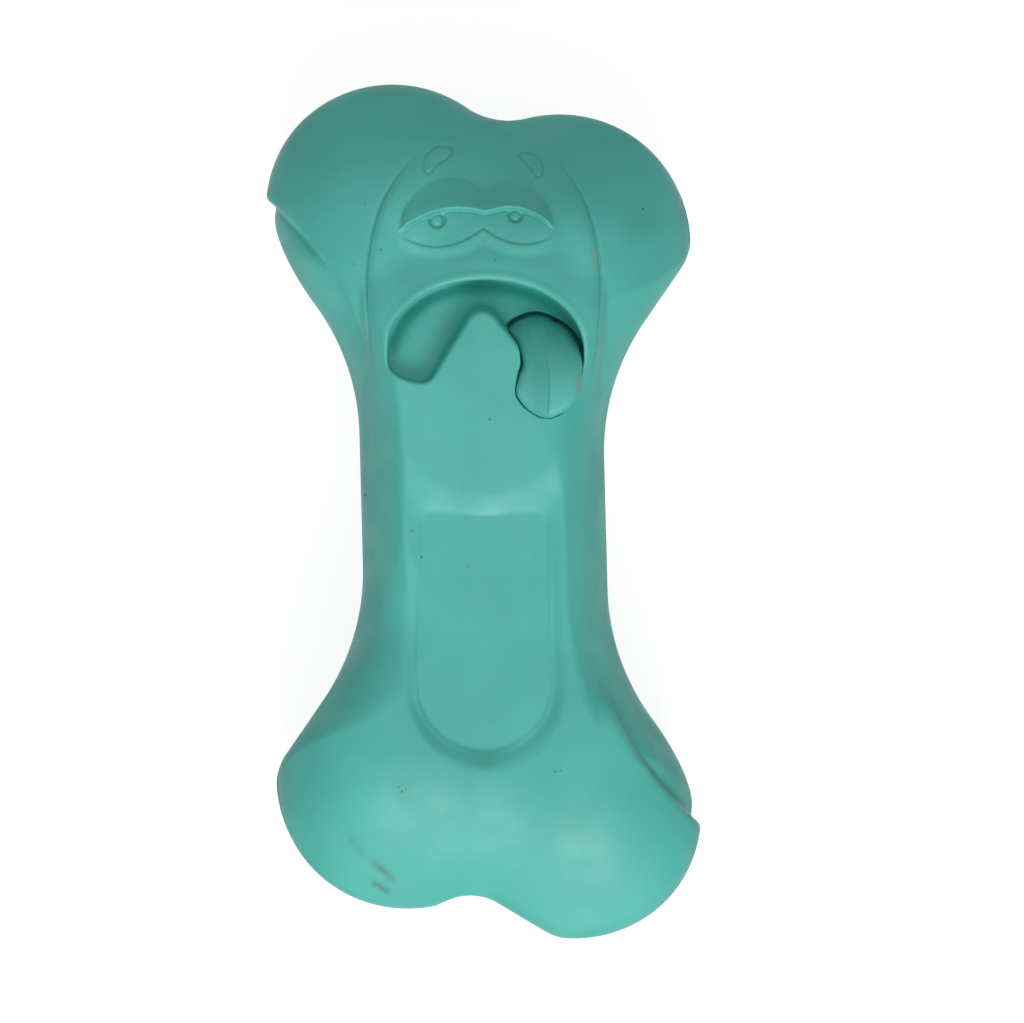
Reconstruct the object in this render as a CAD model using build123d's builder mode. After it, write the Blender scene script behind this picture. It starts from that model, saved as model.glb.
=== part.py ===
from build123d import *
import os
from math import asin, atan2, degrees, hypot, sqrt

# A bone-shaped rubber chew toy with a comic face.
# Two thick rubber shells meet on a flat seam, with a rib on one in a groove of the other. The front
# shell carries the face, whose open mouth is a treat pocket, and a bare dished panel. A rubber tongue
# hangs out of the mouth on a bead, and a squeaker is buttoned into the back of the rear shell.
# X runs to the right of the picture, Y up the bone towards the face and Z out of the face.
# The toy lies on the flat back of the rear shell, at Z = 0.

# Bone outline, as seen from the front
lobe_radius = 23.0         # round of every knuckle lobe
high_lobe_x = 16.0         # the lobe that stands higher at each end of the front shell
high_lobe_y = 52.0
low_lobe_x = 13.4          # the other lobe of each end, and all four of the plain bone under it
low_lobe_y = 46.8
valley_radius = 6.0        # between the two lobes of one end
shaft_width = 43.0
flare_radius = 40.0        # hollow flare from the shaft out to a lobe
flare_start = 11.3         # the flares leave the shaft this far from the middle
high_flare_start = 23.0    # and this far beside a high lobe, which overhangs the plain bone

# Shell thickness and the rounding of its outside
rear_thickness = 20.0
front_thickness = 21.0
rear_rim_share = 0.76      # rounding of the lobes, of the height of their outer wall
front_rim_share = 1.2
bone_rim_share = 0.76      # and of the plain bone that shows under the high lobes
shoulder_width = 7.2       # slanting side of the shaft and flares, in plan
shoulder_radius = 25.0     # its long round
lip_width = 2.0            # tighter rounding beside a high lobe
lip_radius = 2.6
crown_flat = 80.0          # length of the front that is flat along Y
crown_radius = 80.0        # the ends fall away from it on this radius
wall = 6.0                 # rubber round the air chamber, which runs down the shaft
chamber_radius = 5.0       # round of the chamber's floor and roof
overrun = 2.0              # how far a cut runs past what it cuts

# Seam rib on the rear shell, which sits in a groove of the front shell
rib_width = 1.6
rib_height = 1.5
rib_inset = 2.2            # from the outside to the rib
seam_clearance = 0.15

# Face, standing proud of the front shell
face_y = 35.0
face_width = 40.4
face_height = 63.2
face_rise = 1.2
brow_x = 8.2
brow_y = 61.4
brow_length = 5.6
brow_width = 3.2
brow_slant = 38.0          # degrees, outer ends down
brow_rise = 0.5
eye_x = 7.1
eye_y = 51.0
eye_width = 14.0
eye_height = 9.6
eye_depth = 0.7
pupil_x = 6.9
pupil_y = 50.6
pupil_radius = 1.3
lid_radius = 7.6           # round of an upper lid in plan
lid_rise = 1.6
lid_line_radius = 22.5     # one arch over both eyes is the lids' lower edge
lid_line_top = 53.0

# Mouth, a treat pocket with a peak of the chin standing in it
mouth_y = 23.0
mouth_radius = 18.0
mouth_corner_radius = 3.0
mouth_depth = 9.0
peak_left = 9.3            # feet of the peak, from the middle
peak_right = 10.5
peak_height = 14.6
peak_tip_radius = 2.6

# Dished panel on the shaft
panel_width = 21.8         # floor
panel_top = 0.0
panel_bottom = -41.6
panel_corner_radius = 2.4
panel_depth = 1.4
panel_side_slope = 3.2     # width of its sloped edge at the sides
panel_top_slope = 1.6      # at the top
panel_end_slope = 4.0      # and at the round lower end

# Tongue, on a bead in the floor of the mouth between the peak and the upper lip
tongue_width = 11.5        # at the tip
tongue_root_width = 8.4    # and where it bends down into the mouth
tongue_tip_y = 16.4
tongue_lean = 1.5          # the blade's middle lies this far right of the neck's
tongue_thickness = 3.0
tongue_edge_radius = 1.2
tongue_groove_radius = 2.4
tongue_groove_depth = 0.7
tongue_gap = 0.3           # over the chin
neck_bend_radius = 3.6
root_share = 0.445         # height of the bead in the mouth, of the mouth's radius
neck_share = 0.57          # width of the neck, of the room beside the peak
neck_side_share = 0.16     # room left between the peak and the neck
bead_radius = 2.4
bead_clearance = 0.08

# Squeaker
squeaker_y = 0.0
flange_diameter = 16.6
flange_thickness = 1.4
flange_sink = 0.2          # below the back of the toy
neck_diameter = 11.9
barb_diameter = 14.6
barb_height = 1.6
housing_height = 14.0
housing_bore = 8.0
housing_floor = 1.2
sound_hole = 3.0
fit_clearance = 0.05
holder_flat = 0.4          # from the squeaker's axis to the flat that the reed lies on
collar_height = 3.0
holder_gap = 2.4           # between the housing's floor and the holder
channel_width = 2.2
channel_depth = 1.5
reed_width = 4.6
reed_thickness = 0.25
reed_end_gap = 0.8         # from the reed's free end to the holder's end

# Levels and places that follow
seam_z = rear_thickness
front_z = rear_thickness + front_thickness
face_z = front_z + face_rise
mouth_floor_z = face_z - mouth_depth
side_x = shaft_width / 2 + flare_radius
high_lobe = (-high_lobe_x, high_lobe_y)
low_lobe = (low_lobe_x, low_lobe_y)
rear_lobe = (-low_lobe_x, low_lobe_y)
reach = max(high_lobe_y, low_lobe_y) + lobe_radius
root_y = mouth_y + root_share * mouth_radius
peak_side_x = peak_right * (1 - (root_y - tongue_thickness / 2 - mouth_y) / peak_height)
neck_room = sqrt(mouth_radius ** 2 - (root_y + tongue_thickness / 2 - mouth_y) ** 2) - peak_side_x
neck_width = neck_share * neck_room
neck_x = peak_side_x + neck_side_share * neck_room + neck_width / 2
tongue_x = neck_x + tongue_lean


def knuckle_body(left_lobe, right_lobe, inset=0):
    """Outline of two slots, each from an upper lobe down its side to the half-turn image of the other."""
    with BuildSketch() as body:
        for upper, lower in ((left_lobe, right_lobe), (right_lobe, left_lobe)):
            run_x = upper[0] + lower[0]
            run_y = upper[1] + lower[1]
            turn = degrees(atan2(run_y, run_x))
            with Locations(((upper[0] - lower[0]) / 2, (upper[1] - lower[1]) / 2)):
                SlotCenterToCenter(hypot(run_x, run_y), 2 * (lobe_radius - inset), turn)
        valleys = body.vertices().sort_by(lambda vertex: abs(vertex.X))[:2]
        fillet(valleys, valley_radius + inset)
    return body.sketch


def seam_outline(inset):
    """Outline that keeps this far inside both shells at the seam."""
    with BuildSketch() as outline:
        add(knuckle_body(rear_lobe, low_lobe, inset))
        for turn in (0, 180):
            with Locations(Location((0, 0, 0), (0, 0, turn))):
                with Locations((-side_x, (high_flare_start - flare_start) / 2)):
                    SlotCenterToCenter(high_flare_start + flare_start, 2 * (flare_radius + inset), 90,
                                       mode=Mode.SUBTRACT)
    return outline.sketch


def waist_tool(low_y, high_y, width, radius, thickness):
    """Left-hand cutter: a slot in plan, whose wall rolls out at the top to round the shell's shoulder."""
    roll_z = thickness - sqrt(radius ** 2 - (radius - width) ** 2)
    top_z = roll_z + radius + overrun
    with BuildPart() as tool:
        for end_y in (low_y, high_y):
            with BuildSketch(Plane((-side_x, end_y, 0), x_dir=(1, 0, 0), z_dir=(0, -1, 0))) as section:
                with BuildLine():
                    Polyline((0, top_z), (0, -overrun), (flare_radius, -overrun), (flare_radius, roll_z))
                    CenterArc((flare_radius + radius, roll_z), radius, 180, -90)
                    Polyline((flare_radius + radius, roll_z + radius), (flare_radius + radius, top_z),
                             (0, top_z))
                make_face()
            revolve(axis=Axis((-side_x, end_y, 0), (0, 0, 1)))
        extrude(section.sketch, amount=high_y - low_y)
    return tool.part


def crown_fall(y):
    """How far the front has fallen away at this height up the bone."""
    beyond = max(abs(y) - crown_flat / 2, 0)
    return crown_radius - sqrt(crown_radius ** 2 - beyond ** 2)


def plain_bone(thickness, rim_share):
    """One half of the bone without the high lobes, on the seam."""
    with BuildPart() as bone:
        with BuildSketch():
            add(knuckle_body(rear_lobe, low_lobe))
        extrude(amount=thickness)
        fillet(bone.faces().sort_by(Axis.Z)[-1].edges(), rim_share * thickness)
        waist = waist_tool(-flare_start, flare_start, shoulder_width, shoulder_radius, thickness)
        for turn in (0, 180):
            add(waist, rotation=(0, 0, turn), mode=Mode.SUBTRACT)
    return bone.part


# Cut beside a high lobe, down to the plain bone under it
with BuildPart() as lip_cut:
    add(waist_tool(flare_start, high_flare_start, lip_width, lip_radius, front_thickness))
    add(plain_bone(front_thickness, bone_rim_share), mode=Mode.SUBTRACT)

# Front shell as a plain form on the seam
with BuildPart() as front_form:
    with BuildSketch():
        add(knuckle_body(high_lobe, low_lobe))
    extrude(amount=front_thickness)
    with BuildSketch(Plane.YZ):
        with BuildLine():
            fall = degrees(asin((reach - crown_flat / 2) / crown_radius))
            far = CenterArc((crown_flat / 2, front_thickness - crown_radius), crown_radius, 90, -fall)
            near = CenterArc((-crown_flat / 2, front_thickness - crown_radius), crown_radius, 90, fall)
            Line(far @ 0, near @ 0)
            Polyline(near @ 1, (-reach, 0), (reach, 0), far @ 1)
        make_face()
    extrude(amount=reach, both=True, mode=Mode.INTERSECT)
    upper = front_form.edges().filter_by_position(Axis.Z, overrun, front_thickness)
    rim = upper.filter_by(Axis.Z, reverse=True).filter_by(Axis.X, reverse=True)
    fillet(rim, front_rim_share * (front_thickness - crown_fall(reach)))
    waist = waist_tool(-flare_start, flare_start, shoulder_width, shoulder_radius, front_thickness)
    for turn in (0, 180):
        add(waist, rotation=(0, 0, turn), mode=Mode.SUBTRACT)
        add(lip_cut.part, rotation=(0, 0, turn), mode=Mode.SUBTRACT)


def raised(outline, rise):
    """A copy of the front form lifted by this much, kept only inside an outline."""
    with BuildPart() as relief:
        with Locations((0, 0, seam_z + rise)):
            add(front_form.part)
        with BuildSketch(Plane.XY.offset(seam_z)):
            add(outline)
        extrude(amount=front_thickness + rise + overrun, mode=Mode.INTERSECT)
    return relief.part


def panel_outline(slope_share):
    """Panel outline, part way up its sloped edge."""
    half = panel_width / 2 + panel_side_slope * slope_share
    top = panel_top + panel_top_slope * slope_share
    bottom = panel_bottom - panel_end_slope * slope_share
    with BuildSketch() as outline:
        with BuildLine():
            Polyline((-half, bottom + half), (-half, top), (half, top), (half, bottom + half))
            ThreePointArc((half, bottom + half), (0, bottom), (-half, bottom + half))
        make_face()
        fillet(outline.vertices().group_by(Axis.Y)[-1], panel_corner_radius)
    return outline.sketch


# Outlines of the face
with BuildSketch() as face_outline:
    with Locations((0, face_y)):
        Ellipse(face_width / 2, face_height / 2)

with BuildSketch() as brow_outline:
    for side in (-1, 1):
        with Locations((side * brow_x, brow_y)):
            Ellipse(brow_length / 2, brow_width / 2, rotation=-side * brow_slant)

with BuildSketch() as under_lids:
    with Locations((0, lid_line_top - lid_line_radius)):
        Circle(lid_line_radius)

with BuildSketch() as eye_outline:
    with Locations((-eye_x, eye_y), (eye_x, eye_y)):
        Ellipse(eye_width / 2, eye_height / 2)
    add(under_lids.sketch, mode=Mode.INTERSECT)

with BuildSketch() as mouth_outline:
    with Locations((0, mouth_y)):
        Circle(mouth_radius)
        Rectangle(2 * mouth_radius, mouth_radius, align=(Align.CENTER, Align.MAX), mode=Mode.SUBTRACT)
    fillet(mouth_outline.vertices(), mouth_corner_radius)
    peak = [(-peak_left, mouth_y), (0, mouth_y + peak_height), (peak_right, mouth_y)]
    Polygon(*peak, align=None, mode=Mode.SUBTRACT)
    tip = mouth_outline.vertices().sort_by_distance((0, mouth_y + peak_height))[0]
    fillet(tip, peak_tip_radius)

# Upper lids: two domes cut off along one arch
eye_z = face_z - crown_fall(eye_y)
lid_dome_radius = (lid_radius ** 2 + lid_rise ** 2) / (2 * lid_rise)
with BuildPart() as lids:
    with Locations(*[(side * eye_x, eye_y, eye_z + lid_rise - lid_dome_radius) for side in (-1, 1)]):
        Sphere(lid_dome_radius)
    with BuildSketch(Plane.XY.offset(eye_z - lid_dome_radius / 2)):
        add(face_outline.sketch)
        add(under_lids.sketch, mode=Mode.SUBTRACT)
    extrude(amount=lid_dome_radius, mode=Mode.INTERSECT)

# Air chamber: a rounded slot down the shaft, in both shells
with BuildPart() as chamber:
    with BuildSketch(Plane.XY.offset(wall)):
        SlotCenterToCenter(2 * low_lobe_y, shaft_width - 2 * wall, 90)
    extrude(amount=mouth_floor_z - 2 * wall)
    fillet(chamber.edges().group_by(Axis.Z)[0] + chamber.edges().group_by(Axis.Z)[-1], chamber_radius)

with BuildPart() as front_shell:
    with Locations((0, 0, seam_z)):
        add(front_form.part)
    add(raised(face_outline.sketch, face_rise))
    add(raised(brow_outline.sketch, face_rise + brow_rise))
    add(lids.part)
    with BuildSketch(Plane.XY.offset(eye_z - eye_depth)):
        add(eye_outline.sketch)
        with Locations((-pupil_x, pupil_y), (pupil_x, pupil_y)):
            Circle(pupil_radius, mode=Mode.SUBTRACT)
    extrude(amount=eye_depth + lid_rise, mode=Mode.SUBTRACT)
    with BuildSketch(Plane.XY.offset(mouth_floor_z)):
        add(mouth_outline.sketch)
    extrude(amount=mouth_depth + overrun, mode=Mode.SUBTRACT)
    with BuildSketch(Plane.XY.offset(front_z - panel_depth)):
        add(panel_outline(0))
    with BuildSketch(Plane.XY.offset(front_z + panel_depth)):
        add(panel_outline(2))
    loft(ruled=True, mode=Mode.SUBTRACT)
    with Locations((neck_x, root_y, mouth_floor_z)):
        Cylinder(bead_radius + bead_clearance, neck_width + 2 * tongue_gap, rotation=(0, 90, 0),
                 mode=Mode.SUBTRACT)
    add(chamber.part, mode=Mode.SUBTRACT)
    with BuildSketch(Plane.XY.offset(seam_z)):
        add(seam_outline(rib_inset - seam_clearance))
        add(seam_outline(rib_inset + rib_width + seam_clearance), mode=Mode.SUBTRACT)
    extrude(amount=rib_height + seam_clearance, mode=Mode.SUBTRACT)

with BuildPart() as rear_shell:
    with Locations(Location((0, 0, seam_z), (0, 180, 0))):
        add(plain_bone(rear_thickness, rear_rim_share))
    add(chamber.part, mode=Mode.SUBTRACT)
    with Locations(Location((0, squeaker_y, 0), (180, 0, 0))):
        CounterBoreHole(neck_diameter / 2 + fit_clearance, flange_diameter / 2 + fit_clearance,
                        flange_sink + flange_thickness, seam_z)
    with BuildSketch(Plane.XY.offset(seam_z)):
        add(seam_outline(rib_inset))
        add(seam_outline(rib_inset + rib_width), mode=Mode.SUBTRACT)
    extrude(amount=rib_height)

# Tongue: a strap that rises from its bead, bends over the lip and lies along the chin
blade_z = face_z + tongue_gap
spine_z = blade_z + tongue_thickness / 2
with BuildPart() as tongue_room:
    with BuildSketch(Plane.XY.offset(mouth_floor_z)):
        with Locations((neck_x, root_y)):
            Rectangle(neck_width, tongue_thickness)
    extrude(amount=blade_z - mouth_floor_z)
    with BuildSketch(Plane.XY.offset(blade_z)):
        with Locations((tongue_x, tongue_tip_y + tongue_width / 2)):
            Circle(tongue_width / 2)
        with Locations((neck_x, root_y + tongue_thickness / 2 - tongue_root_width / 2)):
            Circle(tongue_root_width / 2)
        make_hull()
    extrude(amount=tongue_thickness)
    fillet(tongue_room.faces().sort_by(Axis.Z)[-1].edges(), tongue_edge_radius)

with BuildPart() as tongue:
    with BuildSketch(Plane.YZ.offset(tongue_x)):
        with BuildLine():
            FilletPolyline((root_y, mouth_floor_z), (root_y, spine_z), (tongue_tip_y, spine_z),
                           radius=neck_bend_radius)
        trace(line_width=tongue_thickness)
    extrude(amount=tongue_width, both=True)
    add(tongue_room.part, mode=Mode.INTERSECT)
    groove_z = spine_z + tongue_thickness / 2 - tongue_groove_depth + tongue_groove_radius
    with Locations((tongue_x, root_y, groove_z)):
        Cylinder(tongue_groove_radius, 2 * (root_y - tongue_tip_y) + overrun, rotation=(90, 0, 0),
                 mode=Mode.SUBTRACT)
    with BuildSketch(Plane.YZ.offset(neck_x)):
        with Locations((root_y, mouth_floor_z)):
            Circle(bead_radius)
    extrude(amount=neck_width / 2, both=True)

# Squeaker: a housing with a sound hole, and a reed that its holder clamps over an air channel
floor_z = flange_sink + housing_floor
top_z = flange_sink + housing_height
with BuildPart() as squeaker_housing:
    with BuildSketch(Plane.XZ.offset(-squeaker_y)):
        with BuildLine():
            Polyline((sound_hole / 2, flange_sink), (flange_diameter / 2, flange_sink),
                     (flange_diameter / 2, flange_sink + flange_thickness),
                     (neck_diameter / 2, flange_sink + flange_thickness),
                     (neck_diameter / 2, wall + fit_clearance), (barb_diameter / 2, wall + fit_clearance),
                     (neck_diameter / 2, wall + fit_clearance + barb_height), (neck_diameter / 2, top_z),
                     (housing_bore / 2, top_z), (housing_bore / 2, floor_z), (sound_hole / 2, floor_z),
                     close=True)
        make_face()
    revolve(axis=Axis((0, squeaker_y, 0), (0, 0, 1)))

holder_z = floor_z + holder_gap
plug_radius = housing_bore / 2 - fit_clearance
with BuildPart() as squeaker_reed_holder:
    with BuildSketch(Plane.XY.offset(holder_z)):
        with Locations((0, squeaker_y)):
            Circle(plug_radius)
    extrude(amount=top_z - holder_z)
    with BuildSketch(Plane.XY.offset(holder_z)):
        with Locations((0, squeaker_y + holder_flat)):
            Rectangle(2 * plug_radius, plug_radius, align=(Align.CENTER, Align.MIN))
    extrude(amount=top_z - holder_z - collar_height, mode=Mode.SUBTRACT)
    with BuildSketch(Plane.XY.offset(holder_z)):
        with Locations((0, squeaker_y + holder_flat)):
            Rectangle(channel_width, channel_depth, align=(Align.CENTER, Align.MAX))
            Rectangle(reed_width + 2 * fit_clearance, reed_thickness + fit_clearance,
                      align=(Align.CENTER, Align.MIN))
    extrude(amount=top_z - holder_z, mode=Mode.SUBTRACT)

with BuildPart() as squeaker_reed:
    with BuildSketch(Plane.XY.offset(holder_z + reed_end_gap)):
        with Locations((0, squeaker_y + holder_flat)):
            Rectangle(reed_width, reed_thickness, align=(Align.CENTER, Align.MIN))
    extrude(amount=top_z - holder_z - reed_end_gap)

os.makedirs("parts", exist_ok=True)
pieces = {
    "front_shell": front_shell,
    "rear_shell": rear_shell,
    "tongue": tongue,
    "squeaker_housing": squeaker_housing,
    "squeaker_reed_holder": squeaker_reed_holder,
    "squeaker_reed": squeaker_reed,
}
for name, piece in pieces.items():
    piece.part.label = name
    export_step(piece.part, f"parts/{name}.step")
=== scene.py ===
import bpy
import numpy as np
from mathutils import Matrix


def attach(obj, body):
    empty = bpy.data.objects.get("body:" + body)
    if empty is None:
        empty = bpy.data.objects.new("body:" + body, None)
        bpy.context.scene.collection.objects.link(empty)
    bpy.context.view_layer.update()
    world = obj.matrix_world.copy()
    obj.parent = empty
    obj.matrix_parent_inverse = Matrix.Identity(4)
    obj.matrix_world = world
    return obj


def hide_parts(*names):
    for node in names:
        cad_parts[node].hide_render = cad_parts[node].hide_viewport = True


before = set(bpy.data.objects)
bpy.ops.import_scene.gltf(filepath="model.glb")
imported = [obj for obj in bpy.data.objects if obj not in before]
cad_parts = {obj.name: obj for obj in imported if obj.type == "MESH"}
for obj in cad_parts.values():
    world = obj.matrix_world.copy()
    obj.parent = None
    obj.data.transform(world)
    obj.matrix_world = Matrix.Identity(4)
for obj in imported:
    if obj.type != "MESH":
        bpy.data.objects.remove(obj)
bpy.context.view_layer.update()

# Lengths are in millimetres, in the part's frame, up to the meshes: x across the toy, y along it, z up from
# its back. The upper left and the lower right lobes are the high ones. A pair is for the high and the low
# side, unless its comment says otherwise. A span is the start and the end of a smooth step.
MM_PER_M = 1000
SEAM = 20.0                     # the two shells meet here
SEAM_EDGE = 0.3                 # rounding of their edges there
LOBE_RADIUS = 23.0
HIGH_LOBE = (16.0, 52.0)        # middle of the lobe that stands higher at each end of the front
LOW_LOBE = (13.4, 46.8)         # and of the other
BONE_LOBE = (13.8, 49.5)        # the plain bone's own lobe under a high lobe
VALLEY_RADIUS = (6.0, 4.0)      # between the lobes, at the upper and the lower end
VALLEY_CUT = ((-2.2, -76.4), (8.1, -82.6), 9.0)    # ends and radius of the wide round in the lower valley
VALLEY_CUT_EDGE = 0.8
SHAFT_HALF = 21.5
SHAFT_LEAN = 0.3                # its sides lie this much further left at the top, and right at the bottom
FLARE_RADIUS = 40.0
FLARE_START = (12.6, 10.6)      # the flares leave the shaft here
FLARE_CORNER = (7.0, 1.5)       # rounding where a flare meets a lobe
FLARE_TURN = 34.5               # on the low side the flare turns by this many degrees and runs on straight
LOW_SIDE_BLEND = 100            # the high side turns into the low side within this product of x and y
SHAFT_TOP = 39.0                # level of the shaft's flat front
CAP_TOP = 40.6                  # level of the lobes
CAP_SPAN = (20, 44)
CAP_SINK = 6.0                  # the high lobes' layer sinks into the bone by this much towards the shaft
CAP_SINK_SPAN = (20, 38)
CAP_SINK_LOW = 3                # and by this many times as much towards the low side
CAP_SINK_LOW_SPAN = (4, 22)
CAP_MARGIN = (1.8, 4)           # width and radius of that layer's rounded margin
LIP_CIRCLE = ((-76.1, 9.9), 58.9)    # middle and radius of the edge of a high lobe's layer, over the ledge
LIP_EDGE = 0.7
LEDGE_DROP = (0.9, 2.0)         # the ledge lies this much lower than the lobe, and this much more at its end
LEDGE_SPAN, LEDGE_DROP_SPAN = (22, 36), (38, 50)
LEDGE_STEP = 0.3
LEDGE_GROOVE = (0.4, 0.6)       # depth and width of the line at the foot of the overhang
CROWN_START = (47.0, 41.8)      # the ends fall away beyond this
CROWN_RADIUS = (45.0, 33.0)
CROWN_BLEND = (-14, 12)
END_SHARE = 0.75                # how much the lobes' ends count in their doming
END_ROUND = 2.0
FLANK_RADIUS = 25.0             # rounding of the shaft's sides
FLANK_LEVEL = 21.3
FLANK_LIFT = 6.0                # on the low side the rounding runs out, rising this much over each span
FLANK_SPANS = ((20, 44), (30, 50))
# Rounding of the crown's edge: all round, how much more on the low side, and less again at its end
CREASE = (0.6, 4.4, 4.0)
CREASE_SPANS = ((4, 20), (36, 44))
DOME_WIDTH, DOME_FOOT, DOME_POWER = 23.0, 21.5, 1.85
DOME_LEAST = 2.0
DOME_BLEND = 12
PANEL_LEVEL = 38.55             # floor of the dished panel
PANEL_EDGE = 0.35
LIFT = 1.3                      # the whole front, with its levels, stands this much higher than they say
LIFT_FULL = 28                  # from this level up
RELIEF_SPAN = (24, 32)          # the relief fades out downwards over these levels

# The hollow inside, the socket of the tongue and the holes for the squeaker
CHAMBER_HALF, CHAMBER_RADIUS = 46.8, 15.5
CHAMBER_LEVEL, CHAMBER_RISE, CHAMBER_EDGE = 16.6, 10.6, 5
REAR_LOBE_ROLL = 15.2
REAR_FLANK_LEVEL = 18.7
REAR_LOBE_SPAN = (14, 40)
FLANGE_RECESS, FLANGE_EDGE = (8.35, 1.6), 0.2      # radius and depth
NECK_HOLE = (6.0, 8)
BEAD = (10.03, 31.01, 33.2)     # middle of the bead that the tongue turns on
BEAD_SIZE = (2.4, 2.5)          # its radius and half its length
BEAD_SOCKET = (2.5, 2.85)


# Signed distances: negative inside
def capsule(x, y, a, b, radius):
    """A line from a to b with a round margin."""
    px, py = x - a[0], y - a[1]
    dx, dy = b[0] - a[0], b[1] - a[1]
    t = np.clip((px * dx + py * dy) / (dx * dx + dy * dy + 1e-12), 0, 1)
    return np.hypot(px - t * dx, py - t * dy) - radius


def round_union(a, b, radius):
    """Both shapes, with a hollow fillet where they meet."""
    hollow = np.hypot(np.maximum(radius - a, 0), np.maximum(radius - b, 0))
    return np.maximum(np.minimum(a, b), radius) - hollow


def round_cross(a, b, radius):
    """What the shapes share, with a rounded edge."""
    edge = np.hypot(np.maximum(a + radius, 0), np.maximum(b + radius, 0))
    return np.minimum(np.maximum(a, b), -radius) + edge


def smooth_max(a, b, width):
    """The larger of two values, eased where they are close."""
    h = np.maximum(width - np.abs(a - b), 0) / width
    return np.maximum(a, b) + h * h * width / 4


def smooth_min(a, b, width):
    return -smooth_max(-a, -b, width)


def ramp(v, start, end):
    """Smooth step from 0 to 1."""
    t = np.clip((v - start) / (end - start), 0, 1)
    return t * t * (3 - 2 * t)


def between(v, start, full, fade, end):
    """Smooth step up from 0 to 1, and down again."""
    return ramp(v, start, full) * (1 - ramp(v, fade, end))


def bell(v, width):
    """1 at the middle, falling off to both sides."""
    return np.exp(-(v / width) ** 2)


def mixed(pair, share):
    """From a pair's first value to its second."""
    return pair[0] + (pair[1] - pair[0]) * share


def rolled(side, rise, radius):
    """A wall that turns over a quarter circle into a top, with the circle's centre at rise 0."""
    q1, q2 = side + radius, rise
    return np.minimum(np.maximum(q1, q2), 0) + np.hypot(np.maximum(q1, 0), np.maximum(q2, 0)) - radius


def domed(side, z, top):
    """A wall that turns over a long oval into a top."""
    height = np.maximum(top - DOME_FOOT, DOME_LEAST)
    q1 = np.maximum(side + DOME_WIDTH, 0) / DOME_WIDTH
    q2 = np.maximum(z - DOME_FOOT, 0) / height
    return ((q1 ** DOME_POWER + q2 ** DOME_POWER) ** (1 / DOME_POWER) - 1) * height


def smooth_line(points, closed=False, steps=6):
    """Catmull-Rom curve through the points."""
    p = np.array(points, float)
    if closed:
        p = np.vstack([p[-1], p, p[:2]])
    else:
        p = np.vstack([2 * p[0] - p[1], p, 2 * p[-1] - p[-2]])
    t = np.linspace(0, 1, steps, endpoint=False)[:, None]
    runs = []
    for a, b, c, d in zip(p[:-3], p[1:-2], p[2:-1], p[3:]):
        runs.append(0.5 * (2 * b + (c - a) * t + (2 * a - 5 * b + 4 * c - d) * t ** 2
                           + (3 * b - a - 3 * c + d) * t ** 3))
    line = np.vstack(runs)
    return line if closed else np.vstack([line, p[-2]])


def outline_distance(line, x, y, reach=6.0):
    """Signed distance to a closed outline, held at reach beyond its box."""
    lo, hi = line.min(0) - reach, line.max(0) + reach
    out = np.full(x.shape, reach)
    near = (x > lo[0]) & (x < hi[0]) & (y > lo[1]) & (y < hi[1])
    px, py = x[near], y[near]
    best = np.full(px.shape, 1e9)
    inside = np.zeros(px.shape, bool)
    for a, b in zip(line, np.roll(line, -1, 0)):
        best = np.minimum(best, capsule(px, py, a, b, 0))
        cross = (a[1] > py) != (b[1] > py)
        at = a[0] + (py - a[1]) * (b[0] - a[0]) / (b[1] - a[1] + 1e-12)
        inside ^= cross & (px < at)
    out[near] = np.where(inside, -best, np.minimum(best, reach))
    return out


def egg(middle, half_width, up, down, power_up, power_down, count=80):
    """Closed outline of an oval whose upper and lower halves differ in height and fullness."""
    turn = np.linspace(0, 2 * np.pi, count, endpoint=False)
    cos, sin = np.cos(turn), np.sin(turn)
    power = np.where(sin > 0, 2 / power_up, 2 / power_down)
    wide = half_width * np.sign(cos) * np.abs(cos) ** power
    high = np.where(sin > 0, up, -down) * np.abs(sin) ** power
    return np.stack([middle[0] + wide, middle[1] + high], 1)


# Outlines and lines of the face
FACE = egg((0, 39.5), 20.5, 27.1, 36.2, 2.15, 2.15, 96)
FACE_SIDES = (20, 30, 54, 64)   # the groove round the face is crisp between these
MOUTH = egg((0.35, 28.5), 17.0, 11.95, 6.1, 2.0, 4.0)
# A point on each flank of the chin's peak, and the flank's outward direction
PEAK_FLANKS = (((-5.0, 29.6), (-0.854, 0.52)), ((5.6, 29.6), (0.777, 0.63)))
PEAK_TIP_RADIUS = 4.0
LID_ARCHES = ((52.9, -4.2, 5.35), (53.05, 4.6, 4.13))    # top, middle and width over each eye
LID_FOOT = 49.4
LID_TOPS = ((9.1, -5.6, 9.5, 0.65), (8.2, 4.6, 8.0, 0.6))    # rise, middle, half width and fullness
EYE_LINES = ((46.4, -8.2, 4.55), (46.85, 7.2, 4.3))    # lowest level, middle and width under each eye
EYES_MEET = 0.35
PUPILS = (((-8.1, 51.1), 1.2), ((5.6, 51.9), 1.05))
BROWS = (
    smooth_line([(-10.5, 60.9), (-9.9, 62.5), (-8.3, 63.9), (-6.1, 63.9), (-5.35, 63.0), (-6.2, 61.9),
                 (-8.0, 60.9), (-9.0, 59.6), (-9.9, 59.3)], True),
    smooth_line([(6.25, 62.3), (7.0, 62.9), (8.9, 62.5), (10.2, 61.0), (10.3, 59.2), (9.5, 58.6),
                 (8.6, 59.6), (7.4, 61.0)], True))
BROW_REACH = 3.0
TONGUE = smooth_line([
    (4.4, 31.9), (6.6, 33.6), (9.6, 34.2), (12.8, 33.0), (15.4, 30.9), (17.1, 27.4), (17.2, 22.8),
    (15.6, 18.8), (11.8, 16.4), (8.2, 17.4), (5.7, 20.4), (6.1, 23.6), (6.8, 25.8), (6.0, 29.3)], True)
TONGUE_GROOVE = smooth_line([
    (7.0, 34.6), (8.3, 32.6), (10.0, 29.7), (11.3, 26.5), (11.7, 22.5), (11.5, 16.0)])
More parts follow.
